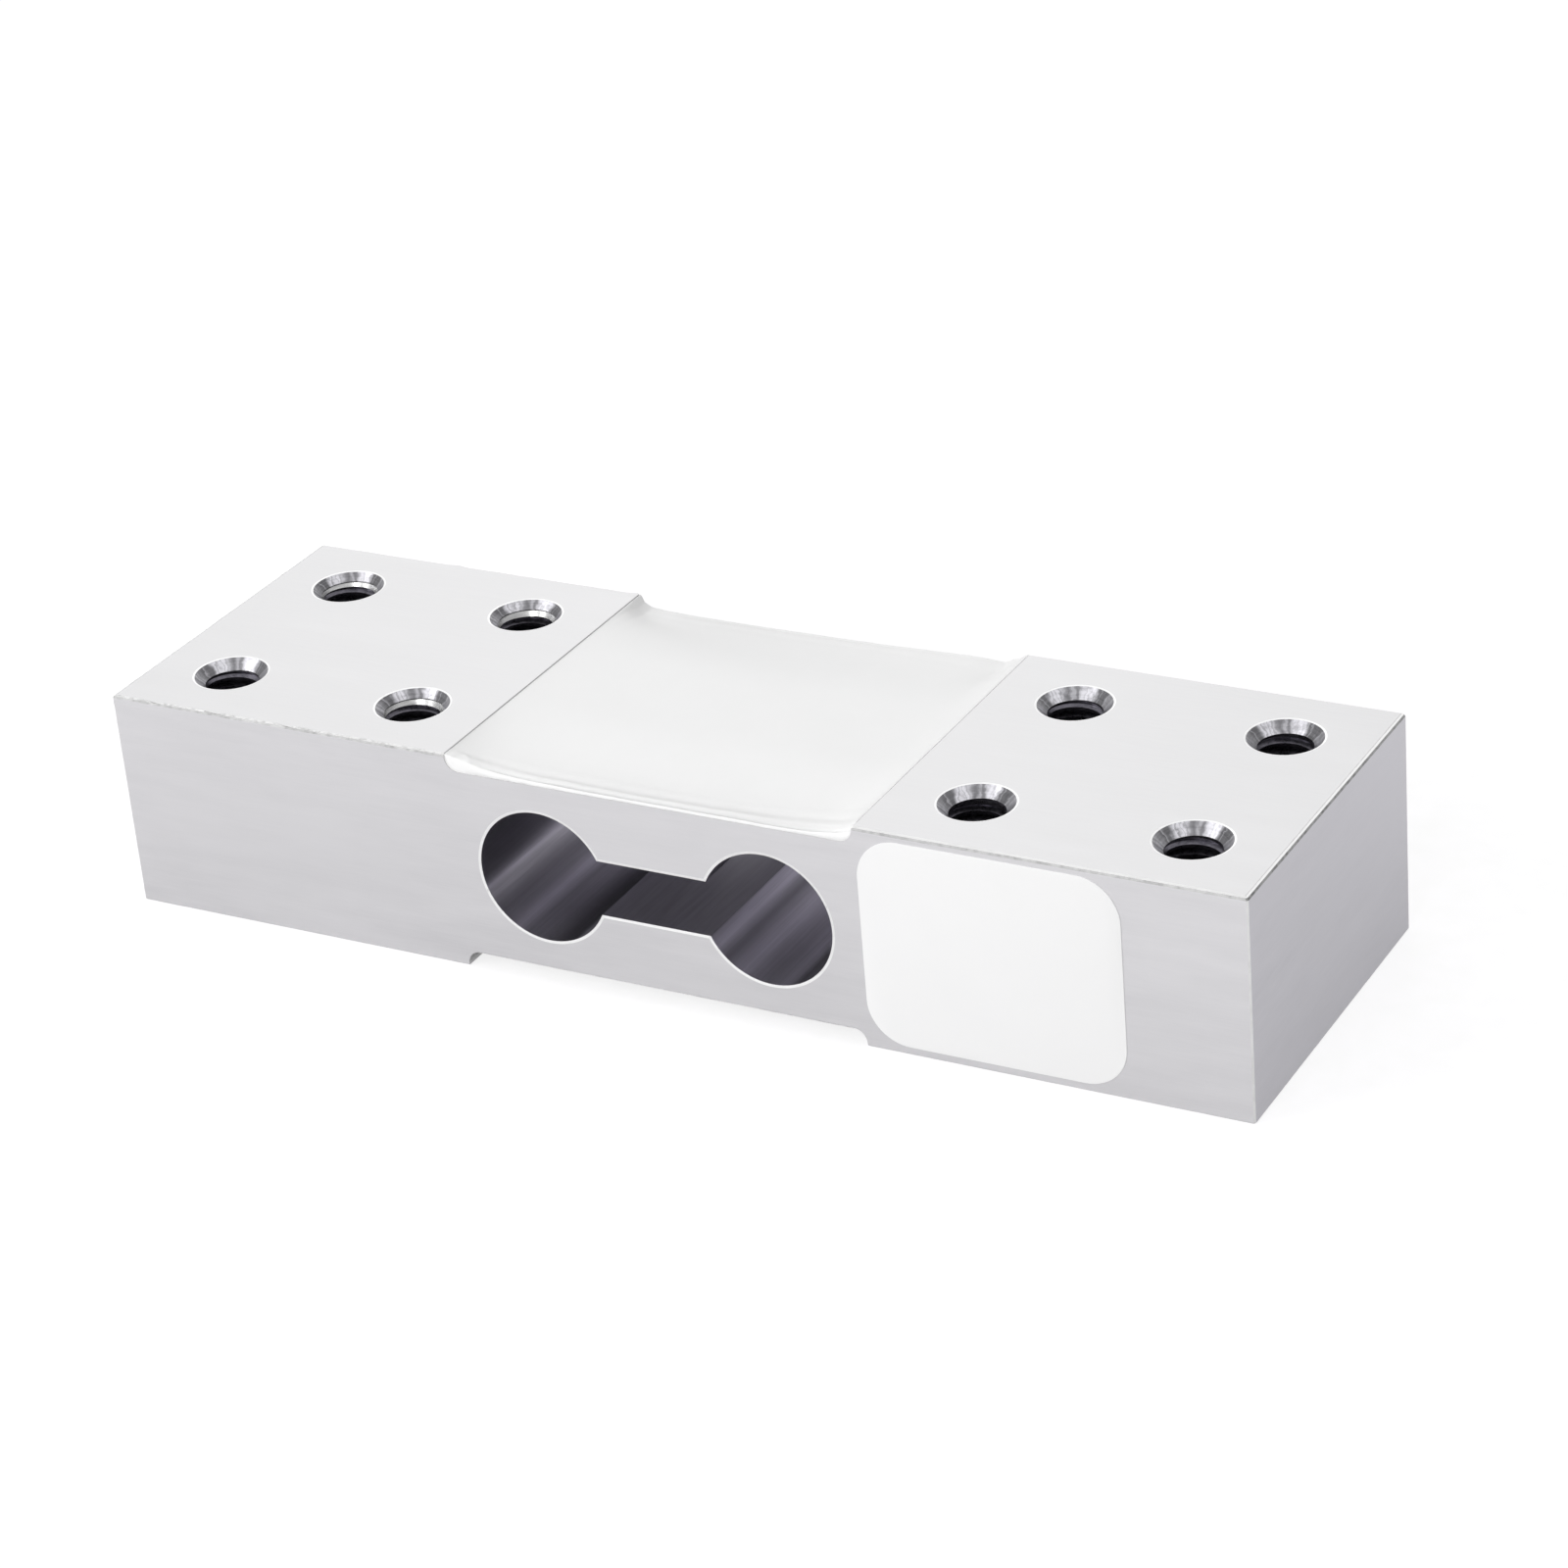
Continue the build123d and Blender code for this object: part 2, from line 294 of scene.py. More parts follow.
def milledAluminium(name, lines, tint=None):  # fine milling lines run where the stretch is smallest
    look = aluminium
    finish = Finish(name, Metallic=look["metal"])
    line = finish.grain(lines, look["lineScale"], 4)
    broad = finish.grain([a ** 0.6 for a in lines], look["lineScale"] / look["broadTimes"], 4, 0.7)
    cloud = finish.grain([a ** 0.3 for a in lines], look["cloudScale"])
    both = finish.math("ADD", finish.math("MULTIPLY", line, look["lineShare"]),
                       finish.math("MULTIPLY", broad, 1 - look["lineShare"]))
    tone = finish.blendColour(finish.span(both, 0, 1, 0.35, 0.65), look["dark"], look["light"])
    tone = finish.blendColour(finish.span(cloud, 0.0, look["cloudLight"]), tone, look["light"])
    # the tint multiplies in lighter or darker copies of the finish for some faces: painted light and
    # shade
    if tint:
        tone = finish.blendColour(1.0, tone, tint, "MULTIPLY")
    finish.to("Base Color", tone)
    finish.to("Roughness", finish.span(both, *look["roughness"], 0.3, 0.7))
    finish.bump(both, look["lineStrength"], look["lineDepth"])
    return finish.material


edgeTones = {                                 # edge tones: dark and light grey, grain scale; lighter than the faces they are painted highlights, darker they are painted shade
    # dullEdge: a little darker than the faces, painted shade on the lower edges and the bore's mouth
    "dullEdge": (0.52, 0.58, 500),
    # cornerEdge, paleEdge, brightEdge: painted highlight lines on the corners and on the upper facets
    # of the top edges
    "cornerEdge": (0.74, 0.80, 500),
    "paleEdge": (0.73, 0.80, 500),
    "brightEdge": (0.94, 0.99, 500),
    # nickedHighlightEdge: nicks, and a painted highlight on the upper facets of the left half's top
    # edges
    "nickedHighlightEdge": (0.56, 0.80, 1400),
    # shadedEdge, darkEdge: painted shade lines on the lower facets of the top edges
    "shadedEdge": (0.25, 0.33, 900),
    "darkEdge": (0.16, 0.34, 900),
    # cutRim, holeLip: painted highlight rims round the through cut and the countersinks
    "cutRim": (0.76, 0.82, 500),
    "holeLip": (0.82, 0.88, 500),
}


def edgeWithPaintedLight(name):
    low, high, size = edgeTones[name]
    return grainyFinish(name, 0.6, ((1, 1, 1), size, 4, 0.7), grey(low), grey(high),
                        (0.5, 0.4), 0.15, (0.36, 0.56))


cutWall = {                                   # painted highlight and shade: degrees round the hole, and lightness
    "left": ((0, 0.38), (150, 0.32), (168, 0.26), (190, 0.28), (196, 0.42), (200, 0.72),
             (204, 0.44), (222, 0.33), (232, 0.50), (240, 0.86), (249, 0.46), (262, 0.48),
             (272, 0.36), (281, 0.19), (293, 0.10), (300, 0.50), (312, 0.38)),
    "right": ((0, 0.30), (190, 0.46), (204, 0.46), (207, 0.94), (216, 1.00), (221, 0.56),
              (227, 0.34), (236, 0.66), (244, 0.88), (252, 0.62), (266, 0.48), (284, 0.55),
              (294, 0.18), (312, 0.20)),
    "slot": 0.33, "slotUneven": 0.14, "tint": (1.0, 0.96, 1.10, 1),
    "metal": 0.9, "roughness": (0.30, 0.42),
    "fineShade": (0.12, 0.0, 0.24), "patchShade": (0.18, 0.0, 0.20),            # grey, shares
}


def finishCutWall(finish, tone, fine, *ends):
    finish.to("Base Color", finish.blendColour(1.0, tone, cutWall["tint"], "MULTIPLY"))
    finish.to("Roughness", finish.span(fine, *cutWall["roughness"], *ends))
    finish.bump(fine, 0.3, 0.00001)
    return finish.material


def cutHoleWall(name, middleX, paintedStreaks):      # a flexure hole: dark, with fine tool streaks and bands of painted highlight and shade set by angle
    finish = Finish(name, Metallic=cutWall["metal"])
    axes = finish.axes()
    x = finish.math("SUBTRACT", axes["X"], middleX * mm)
    z = finish.math("SUBTRACT", axes["Z"], beam["height"] / 2 * mm)
    fine = finish.grain((1, 0.02, 1), 2600)
    patch = finish.grain((1, 0.25, 1), 260)
    turn, tone = finish.byAngle(finish.math("ARCTAN2", z, x), paintedStreaks)
    tone = finish.shade(tone, fine, *cutWall["fineShade"])
    tone = finish.shade(tone, patch, *cutWall["patchShade"])
    return finishCutWall(finish, tone, fine, 0.3, 0.7)


def slotWall():                               # the slot between the two holes: even and dark
    finish = Finish("slotWall", Metallic=cutWall["metal"])
    fine = finish.grain((1, 0.05, 1), 1800)
    dark, light = [cutWall["slot"] * (1 + a * cutWall["slotUneven"]) for a in (-1, 1)]
    tone = finish.blendColour(finish.span(fine, 0, 1), grey(dark), grey(light))
    return finishCutWall(finish, tone, fine)


holes = {
    "endBlock": 51.0, "spacing": 26.5, "core": 3.32, "major": 4.0, "pitch": 1.25, "turns": 26,
    "crestFlat": 0.40, "rootFlat": 0.16, "stepsPerTurn": 48, "start": -2.0, "stagger": 0.16,
    "fadeFrom": 1.25, "fadeOver": 1.3,        # the thread's first depth, and what it needs to be full
    "mouth": 4.6, "lip": 0.06, "lipWide": 0.24, "outside": 0.4, "tipInside": 0.1, "sides": 96,
    "grooveAt": 0.98, "grooveWide": 0.14, "grooveDeep": 0.09, "grooveSlope": 0.06,
    "bandEnd": 1.80, "bandOver": 0.03, "bandWide": 0.30, "bandStep": 0.03,
}
holePlaces = [(end * holes["endBlock"] + i * holes["spacing"] / 2, j * holes["spacing"] / 2)
              for end in (-1, 1) for i in (-1, 1) for j in (-1, 1)]
cone = {
    "paintedFans": ((0, 0.26), (20, 0.34), (40, 0.26), (50, 0.09), (70, 0.11), (80, 0.84), (98, 0.80),
             (107, 0.32), (128, 0.28), (137, 0.80), (155, 0.74), (164, 0.10), (182, 0.10),
             (192, 0.26), (212, 0.30), (226, 0.75), (248, 0.70), (258, 0.12), (283, 0.12),
             (296, 0.66), (320, 0.74), (332, 0.30)),
    "tint": (0.99, 0.98, 1.04, 1), "metal": 0.9, "roughness": 0.3, "chatterTeeth": 46.0,
    # grey, its shares at the low and the high end of the pattern, and those ends
    "chatterDark": (0.12, 0.0, 0.46, 0.50, 0.64), "chatterLight": (0.85, 0.30, 0.0, 0.34, 0.46),
    "ringLight": (0.50, 0.0, 0.16, 0.35, 0.65), "ringDark": (0.10, 0.26, 0.0, 0.30, 0.60),
    "spotDark": (0.16, 0.0, 0.42, 0.50, 0.66),
}


def turnedCone():                             # countersinks: turned rings and chatter, and light and dark fans of painted reflection round the axis
    finish = Finish("turnedCone", Metallic=cone["metal"], Roughness=cone["roughness"])
    axes = finish.axes()
    x, y = axes["X"], axes["Y"]
    halfSpacing = holes["spacing"] / 2 * mm
    for step in (holes["endBlock"] * mm, halfSpacing):
        x = finish.math("SUBTRACT", x, finish.math("MULTIPLY", finish.math("SIGN", x), step))
    y = finish.math("SUBTRACT", y, finish.math("MULTIPLY", finish.math("SIGN", y), halfSpacing))
    angle = finish.math("ARCTAN2", y, x)
    sway = finish.math("ADD", finish.span(finish.grain((1, 1, 0), 45, 1), -0.22, 0.22),
                       finish.span(finish.grain((1, 1, 1), 800, 2), -0.09, 0.09))
    rings = finish.grain((0.3, 0.3, 40), 160)
    spots = finish.grain((1, 1, 1), 1100)
    turn, tone = finish.byAngle(finish.math("ADD", angle, sway), cone["paintedFans"])
    teeth = finish.math("MULTIPLY", turn, cone["chatterTeeth"])
    chatter = finish.add("TexNoise", {"W": teeth, "Scale": 1.0, "Detail": 2.0},
                         noise_dimensions="1D").outputs["Fac"]
    for pattern, look in ((chatter, "chatterDark"), (chatter, "chatterLight"),
                          (rings, "ringLight"), (rings, "ringDark"), (spots, "spotDark")):
        tone = finish.shade(tone, pattern, *cone[look])
    finish.to("Base Color", finish.blendColour(1.0, tone, cone["tint"], "MULTIPLY"))
    finish.bump(rings, 0.5, 0.00002)
    return finish.material


def paintedHighlightBand():                          # below the countersink: a light band, a painted highlight where the thread starts
    return grainyFinish("paintedHighlightBand", 0.7, ((1, 1, 6), 500), grey(0.34), grey(0.66),
                        (0.34, 0.22), 0.2)


# nearly black: painted shade deep in the tapped holes
def tappedThread():
    return grainyFinish("tappedThread", 0.95, ((1, 1, 3), 1500), (0.06, 0.058, 0.070, 1),
                        (0.19, 0.182, 0.212, 1), (0.24, 0.36), 0.2)


beam = {
    "half": (75.0, 23.5), "height": 28.5, "edge": 0.14, "topEdge": 0.42, "cornerEdge": 0.22,
    "edgeCuts": ((0, 260), (1, 90), (2, 50)), "edgeSwing": ((0.9, 0.5), (0.31, 0.6), (2.6, 0.5)),
    "edgeUneven": 0.22, "edgeEven": 0.05, "unevenAbove": 13.0, "facetKeep": 0.12, "facetWide": 0.2,
    "recess": 27.0, "recessDepth": 2.1, "recessCorner": 1.8, "crease": 0.10,
    "cutRadius": 8.5, "cutX": 15.0, "cutSides": 112, "slotHalf": 3.6,
    "rim": 0.34, "rimDepth": 0.045, "rimEdges": (24.0, 8.8), "rimFaces": (24.5, 9.5),
    "past": 2.0, "above": 3.0, "smoothBelow": 20,               # cutters stand out by past and above
}


longFace = milledAluminium("milledAlongBeam", (0.03, 1, 1))
# the front and back faces: a lighter, bluer copy of the same milled finish, painted light
sideFace = milledAluminium("milledSidePaintedLight", (0.03, 1, 1), (1.025, 1.018, 1.035, 1))
# the ends: milling lines across, and a still lighter, bluer copy of the finish: painted light
endFace = milledAluminium("milledAcrossEndPaintedLight", (1, 0.04, 1), (1.045, 1.035, 1.085, 1))
edgeFinishes = {name: edgeWithPaintedLight(name) for name in edgeTones}
leftWall = cutHoleWall("leftHoleWall", -beam["cutX"], cutWall["left"])
rightWall = cutHoleWall("rightHoleWall", beam["cutX"], cutWall["right"])
slotFinish = slotWall()
# the crease bevels at the recess walls: the milled finish darkened, painted shade
creaseFinish = milledAluminium("creasedEdge", (1, 0.1, 1), grey(0.62))
coneFinish = turnedCone()
bandFinish = paintedHighlightBand()
threadFinish = tappedThread()
boreFinish = milledAluminium("drilledBore", (1, 0.5, 1))
print("beam finishes made")


# the beam

def roughenEdges(body):                       # edges broken by hand are uneven: divided and shifted
    for axis, cuts in beam["edgeCuts"]:
        pickEdges(body, lambda middle, run: abs(run[axis]) > 0.9, 20)
        bpy.ops.mesh.subdivide(number_cuts=cuts)
        bpy.ops.object.mode_set(mode="OBJECT")
    middle = Vector((0, 0, beam["height"] / 2))
    outside = Vector((*beam["half"], beam["height"] / 2))
    keep = beam["facetKeep"]
    for vertex in body.data.vertices:
        place = vertex.co / mm - middle
        inset = [outside[i] - abs(place[i]) for i in range(3)]
        near = [i for i in range(3) if 0.01 < inset[i] < beam["topEdge"] + 0.01]
        if len(near) != 1:
            continue                          # corners stay where they are
        i = near[0]
        atLeftTop = place.x < -beam["recess"] and place.z > beam["unevenAbove"]
        shift = beam["edgeUneven"] if atLeftTop else beam["edgeEven"]
        shift *= sum(noise.noise(place * often) * strong for often, strong in beam["edgeSwing"])
        if inset[i] > beam["facetWide"]:      # the facets of the top edge keep some width
            shift = max(min(shift, inset[i] - keep), -keep)
        vertex.co[i] += math.copysign(shift * mm, place[i])


def makeBeam():
    halfX, halfY = beam["half"]
    height, recess, deep = beam["height"], beam["recess"], beam["recessDepth"]
    mid, past, above = height / 2, beam["past"], beam["above"]
    body = addBlock("machined_beam", (-halfX, -halfY, 0), (halfX, halfY, height))
    body.data.materials.append(longFace)
    pickEdges(body, lambda middle, run: abs(run.z) > 0.9)
    bevelPicked(beam["cornerEdge"])
    pickEdges(body, lambda middle, run: abs(run.z) < 0.1 and middle.z > mid)
    bevelPicked(beam["topEdge"], 2)
    pickEdges(body, lambda middle, run: abs(run.z) < 0.1 and middle.z < mid)
    bevelPicked(beam["edge"])
    roughenEdges(body)

    for low, high in ((height - deep, height + above), (-above, deep)):         # top, underneath
        floorZ = low if low > 0 else high
        cutter = addBlock("recess", (-recess, -halfY - past, low), (recess, halfY + past, high))
        pickEdges(cutter, lambda middle, run: abs(middle.z - floorZ) < 0.01 and abs(run.y) > 0.9)
        bevelPicked(beam["recessCorner"], 7)
        carve(body, cutter, longFace)
    pickEdges(body, lambda middle, run: abs(abs(middle.x) - recess) < 0.01
              and abs(middle.z - mid) > 12 and abs(run.y) > 0.9)
    bevelPicked(beam["crease"])
    print("beam: recesses cut")

    for x, finish in ((-beam["cutX"], leftWall), (beam["cutX"], rightWall)):
        rod = addRod("flexureHole", (x, halfY + past, mid), (90, 0, 0), beam["cutRadius"],
                     2 * (halfY + past), beam["cutSides"])
        carve(body, rod, finish)
    slot = addBlock("slot", (-beam["cutX"], -halfY - past, mid - beam["slotHalf"]),
                    (beam["cutX"], halfY + past, mid + beam["slotHalf"]))
    carve(body, slot, slotFinish)
    rimX, rimZ = beam["rimEdges"]
    pickEdges(body, lambda middle, run: abs(abs(middle.y) - halfY) < 0.01
              and abs(middle.x) < rimX and abs(middle.z - mid) < rimZ)
    bevelPicked(beam["rim"])
    for vertex in body.data.vertices:         # the rim is wide on the face and shallow in the cut
        if abs(abs(vertex.co.y) / mm - (halfY - beam["rim"])) < 0.005:
            vertex.co.y = math.copysign((halfY - beam["rimDepth"]) * mm, vertex.co.y)
    print("beam: through cut made")
    return body


def threadRod():                              # shape of a tapped hole: a profile wound up the axis
    core, major, pitch = holes["core"], holes["major"], holes["pitch"]
    crest, root = holes["crestFlat"], holes["rootFlat"]
    rise = (pitch - crest - root) / 2
    rod = addProfile("threadRod", [(core, 0), (core, crest), (major, crest + rise),
                                   (major, crest + rise + root), (core, pitch)])
    windProfile(rod, holes["stepsPerTurn"], holes["turns"], pitch)
    openMesh(rod)
    bpy.ops.mesh.remove_doubles(threshold=2 * weldGap)
    middleZ = pitch * (holes["turns"] + 1) / 2 * mm
    for upper in (False, True):               # each open end is drawn together to a point
        bpy.ops.mesh.select_mode(type="EDGE")
        bpy.ops.mesh.select_all(action="DESELECT")
        shape = bmesh.from_edit_mesh(rod.data)
        for edge in shape.edges:
            if edge.is_boundary and (edge.verts[0].co.z > middleZ) == upper:
                edge.select_set(True)
        bmesh.update_edit_mesh(rod.data)
        bpy.ops.mesh.extrude_edges_move()
        bpy.ops.mesh.merge(type="CENTER")
    bpy.ops.mesh.select_all(action="SELECT")
    closeMesh()
    return rod


def fadeThread(rod, x, y):                    # the thread runs out where the countersink starts
    core = holes["core"]
    for vertex in rod.data.vertices:
        dx, dy, z = vertex.co.x / mm - x, vertex.co.y / mm - y, vertex.co.z / mm
        radius = math.hypot(dx, dy)
        if radius > core + 0.01:
            depth = min(z, beam["height"] - z)
            full = portion(depth, holes["fadeFrom"], holes["fadeOver"])
            scale = (core + (radius - core) * full) / radius
            vertex.co.x, vertex.co.y = (x + dx * scale) * mm, (y + dy * scale) * mm


def addSink(name, place, profile, flip, bandBelow):             # one countersink with its finishes
    sink = turnProfile(name, [(r, h * flip) for r, h in profile], holes["sides"])
    for finish in (coneFinish, edgeFinishes["holeLip"], bandFinish):
        sink.data.materials.append(finish)
    lip = holes["lip"]
    for face in sink.data.polygons:
        height = face.center.z / mm
        if height * flip > -lip or abs(height) < lip + 0.001:
            face.material_index = 1
        elif bandBelow and abs(height) > bandBelow:
            face.material_index = 2
    sink.location = [a * mm for a in place]
    applyPlace(sink)
    return sink


def cutHoles(body):
    first = threadRod()
    rods = []
    for index, (x, y) in enumerate(holePlaces):
        start = holes["start"] - holes["stagger"] * (index % 5)
        rods.append(copyPiece(first, "thread%d" % index, (x, y, start)))
        fadeThread(rods[-1], x, y)
    bpy.data.objects.remove(first)
    carve(body, joinAll(rods, "threads"), threadFinish)
    print("beam: threads cut")

    core, mouth, lip, wide = holes["core"], holes["mouth"], holes["lip"], holes["lipWide"]
    outside, tip = holes["outside"], core - holes["tipInside"]
    coneToLip = [(mouth - lip, -lip), (mouth - lip + wide, 0),
                 (mouth - lip + wide + outside * wide / lip, outside), (0, outside)]
    plain = [(0, tip - mouth), (tip, tip - mouth)] + coneToLip
    grooveTop, grooveLow = holes["grooveAt"], holes["grooveAt"] + holes["grooveWide"]
    grooveRadius = mouth - grooveTop + holes["grooveDeep"]
    bandRadius, bandEnd = core + holes["bandOver"], holes["bandEnd"]
    banded = [(0, -bandEnd), (bandRadius, -bandEnd),
              (bandRadius + holes["bandWide"], -grooveLow - holes["bandStep"]),
              (grooveRadius, -grooveLow), (grooveRadius, -grooveTop - holes["grooveSlope"]),
              (mouth - grooveTop, -grooveTop)] + coneToLip
    sinks = []
    for index, (x, y) in enumerate(holePlaces):
        for z, flip in ((beam["height"], 1), (0, -1)):
            highlightBanded = x < 0 and flip > 0 and index > 0           # three holes of the left end
            sinks.append(addSink("sink%d" % len(sinks), (x, y, z), banded if highlightBanded else plain,
                                 flip, grooveLow - 0.01 if highlightBanded else None))
    carve(body, joinAll(sinks, "sinks"))
    print("beam: countersinks cut")


inlet = {
    "place": (-28.925, 14.25), "depth": 9.5, "radius": 2.5, "mouth": 0.4, "outside": 0.5,
    "chamberRadius": 2.0, "chamberDepth": 4.5, "sides": 64,
    "passageX": -25.7, "passageY": 11.75, "passageRadius": 1.5, "passageOver": 1.08,
    "passageSides": 40,
}


def cutInlet(body):                           # the cable's bore, and the two wire passages behind it
    x, z = inlet["place"]
    depth, radius, mouth = inlet["depth"], inlet["radius"], inlet["mouth"]
    chamber, end, outside = inlet["chamberRadius"], depth + inlet["chamberDepth"], inlet["outside"]
    bore = turnProfile("bore", [(0, -end), (chamber, -end), (chamber, -depth), (radius, -depth),
                                (radius, -mouth), (radius + mouth + outside, outside),
                                (0, outside)], inlet["sides"])
    for finish in (boreFinish, edgeFinishes["dullEdge"]):
        bore.data.materials.append(finish)
    for face in bore.data.polygons:
        face.material_index = 1 if face.center.z > -mouth * mm else 0
    bore.rotation_euler.x = math.radians(-90)
    bore.location = (x * mm, beam["half"][1] * mm, z * mm)
    applyPlace(bore)
    carve(body, bore)
    run = inlet["passageX"] - x
    rise = beam["height"] - beam["recessDepth"] - z
    lean = math.degrees(math.atan2(run, rise))
    length = math.hypot(run, rise) * inlet["passageOver"]
    for turn in (lean, 180 - lean):
        passage = addRod("passage", (x, inlet["passageY"], z), (0, turn, 0),
                         inlet["passageRadius"], length, inlet["passageSides"])
        carve(body, passage, boreFinish)
    print("beam: cable inlet cut")


def beamFinish(face):                         # for a face that is neither cut nor drilled
    normal, x, z = face.normal, face.center.x / mm, face.center.z / mm
    straight = max(abs(a) for a in normal)
    fromMiddle = abs(z - beam["height"] / 2)
    rimX, rimZ = beam["rimFaces"]
    if abs(normal.x) > 0.99 and abs(x) > 70:
        return endFace
    if straight < 0.9995 and abs(x) < rimX and fromMiddle < rimZ:
        return edgeFinishes["cutRim"]
    if abs(normal.y) > 0.999:
        return sideFace
    if straight < 0.985 and (abs(abs(x) - 26) > 1.3 or abs(normal.y) > 0.2):    # not the crease
        atEnd = abs(normal.x) > 0.2
        if abs(normal.z) < 0.22:
            kind = "cornerEdge"
        elif z < 20:
            kind = "dullEdge"
        elif normal.z > 0.7:                  # top edges: a painted highlight on the upper facet, then painted shade on the lower one
            kind = "brightEdge" if atEnd else "nickedHighlightEdge" if x < 0 else "paleEdge"
        else:
            kind = "darkEdge" if atEnd else "shadedEdge"
        return edgeFinishes[kind]
    if straight < 0.9 and abs(normal.y) < 0.1 and fromMiddle > 14:
        return creaseFinish
    return longFace


def finishBeam(body):
    openMesh(body)
    bpy.ops.mesh.remove_doubles(threshold=weldGap / 2)
    bpy.ops.mesh.fill_holes(sides=6)          # slivers that the cuts leave open at the recess corners
    closeMesh()
    names = [finish.name for finish in body.data.materials]
    for finish in (sideFace, endFace, creaseFinish, *edgeFinishes.values()):
        if finish.name not in names:
            body.data.materials.append(finish)
            names.append(finish.name)
    plain = names.index(longFace.name)
    for face in body.data.polygons:
        if face.material_index == plain:
            face.material_index = names.index(beamFinish(face).name)
    bpy.ops.object.shade_smooth_by_angle(angle=math.radians(beam["smoothBelow"]))
    shape = bmesh.new()
    shape.from_mesh(body.data)
    for edge in shape.edges:                  # a border between two finishes is a hard edge
        if len({face.material_index for face in edge.link_faces}) > 1:
            edge.smooth = False
    shape.to_mesh(body.data)
    shape.free()


machinedBeam = makeBeam()
cutHoles(machinedBeam)
cutInlet(machinedBeam)
finishBeam(machinedBeam)
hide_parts("beam_body")
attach(machinedBeam, "root")
print("beam done:", len(machinedBeam.data.polygons), "faces")


# the white sealant in the two recesses

silicone = {
    "white": grey(0.867), "shade": grey(0.847), "roughness": (0.32, 0.42), "through": 0.35,
    "throughDepth": 0.0008, "cloudScale": 120, "skinScale": 2600,
}
sealant = {                                   # all heights are over the recess floor
    "halfX": 26.965, "halfY": 23.42, "xLines": 168, "yLines": 150, "crowd": 0.75,
    "edge": 0.19, "crown": 1.42, "tilt": 0.22, "tiltWide": 16, "flatHalf": 7.0,
    "thin": 0.12, "least": 0.05,
    "backEdge": ((-27, 1.95), (-26.35, 0.80), (-25, 0.45), (-23, 0.32), (-19, 0.22), (-12, 0.18),
                 (0, 0.28), (7, 0.38), (13.6, 0.58), (20, 0.74), (23.7, 0.60), (25.6, 1.3),
                 (27, 1.95)),
    "waves": ((0.05, 9), (0.02, 3.5)),        # height and size
    "bead": 0.12, "beadAt": 0.20, "beadWide": 0.13, "beadStart": (-22.5, 3.5), "beadEnd": 1.4,
    "groove": 0.27, "grooveAt": 0.56, "grooveWide": 0.17,
    "ripple": 0.13, "rippleAt": 1.30, "rippleWide": 0.36,
    "hollow": 0.08, "hollowAt": 2.2, "hollowWide": 0.45,
    "swell": 0.05, "swellAt": 3.1, "swellWide": 0.5,
    "spread": 0.5, "spreadFrom": (8, 14),     # the ripples lie further apart towards the right
    "weak": 0.12,                             # how strong they are at the back and underneath
    "swing": 0.12, "swingSize": 7, "grow": 0.45, "growSize": 5,
    "wallTop": 2.05, "leftReach": 5.0, "rightReach": 2.4, "backReach": 0.40, "backFrom": (13, 9),
    "wallSwing": 0.12, "wallSwingSize": 6, "cornerLow": 0.4,
    "blob": 0.24, "blobUneven": 0.20, "blobSize": 0.8, "blobAt": (2.6, 0.7), "blobWide": (2.2, 1.0),
    "round": 0.13, "wallRound": 0.06, "wallDrop": 0.06, "borderSwing": 0.0012, "smoothBelow": 50,
}


def whiteSilicone():
    finish = Finish("whiteSilicone", IOR=1.41, Subsurface_Weight=silicone["through"],
                    Subsurface_Scale=silicone["throughDepth"], Subsurface_Radius=(1, 1, 1))
    cloud = finish.grain((1, 1, 1), silicone["cloudScale"])
    skin = finish.grain((1, 1, 1), silicone["skinScale"])
    tone = finish.blendColour(finish.span(cloud, 0, 1), silicone["shade"], silicone["white"])
    finish.to("Base Color", tone)
    finish.to("Roughness", finish.span(cloud, *silicone["roughness"]))
    finish.bump(skin, 0.12, 0.00002)
    return finish.material


def wobble(x, y, size, seed):
    return noise.noise(Vector((x / size, y / size, seed * 7.31)))


def profileAt(points, x):                     # height along a drawn line of points
    for (x0, z0), (x1, z1) in zip(points, points[1:]):
        if x <= x1:
            return z0 + (z1 - z0) * eased(portion(x, x0, x1 - x0))
    return points[-1][1]


